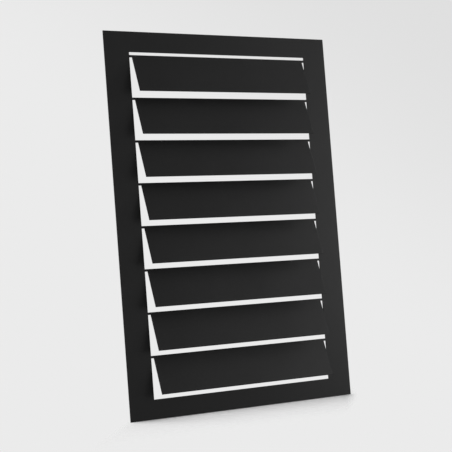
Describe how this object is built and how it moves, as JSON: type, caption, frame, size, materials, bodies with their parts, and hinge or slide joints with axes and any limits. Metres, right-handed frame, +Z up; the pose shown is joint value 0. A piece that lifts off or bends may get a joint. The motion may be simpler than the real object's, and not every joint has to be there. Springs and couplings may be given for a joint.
{
  "type": "louvered vent panel",
  "caption": "Rectangular sheet-metal vent panel with a plain border and a ladder of long slats swung outwards on twisted tabs, to pass air while screening what lies behind.",
  "frame": {"origin": "middle of the panel's flat back face", "axes": "+Z up the panel, +X to the right seen from the front, +Y out of the back towards the wall"},
  "size_m": [0.276, 0.014, 0.4],
  "materials": {
    "powder_coat": "matt black powder coat with a very fine texture"
  },
  "bodies": {
    "root": {"louvered_panel": "powder_coat"}
  },
  "joints": []
}
